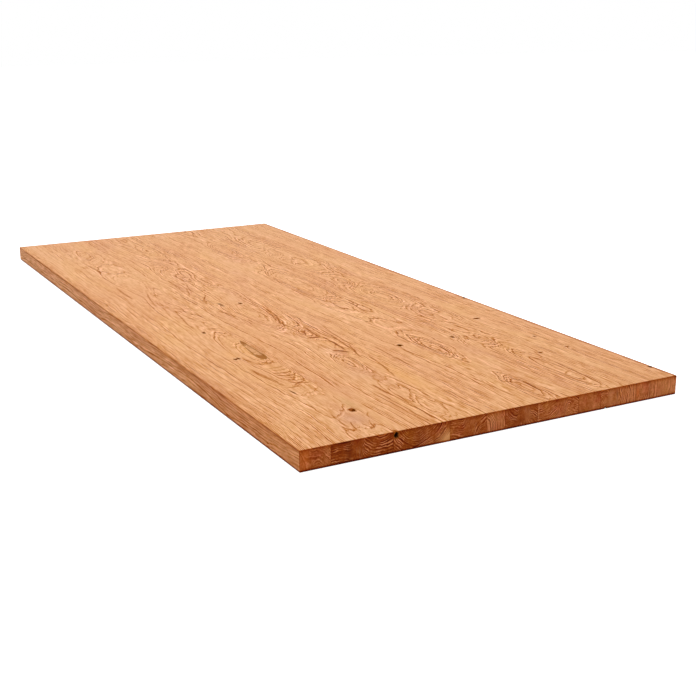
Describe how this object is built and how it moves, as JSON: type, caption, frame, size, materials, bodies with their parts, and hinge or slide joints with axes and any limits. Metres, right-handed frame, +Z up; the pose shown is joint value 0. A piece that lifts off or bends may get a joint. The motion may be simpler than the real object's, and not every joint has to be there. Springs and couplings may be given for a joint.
{
  "type": "solid wood table top",
  "caption": "Flat rectangular solid oak table top, edge-glued from full-length staves, with eased outer edges and a few small open knots.",
  "frame": {"origin": "middle of the underside", "axes": "+X along the grain towards the end with the open knot in its end grain, +Y across the staves from stave_01 to stave_10, +Z up, out of the upper face"},
  "size_m": [2, 0.85, 0.04],
  "materials": {
    "oiled_oak": "sanded and oiled, satin"
  },
  "bodies": {
    "root": {"stave_01": "oiled_oak", "stave_02": "oiled_oak", "stave_03": "oiled_oak", "stave_04": "oiled_oak", "stave_05": "oiled_oak", "stave_06": "oiled_oak", "stave_07": "oiled_oak", "stave_08": "oiled_oak", "stave_09": "oiled_oak", "stave_10": "oiled_oak"}
  },
  "joints": []
}
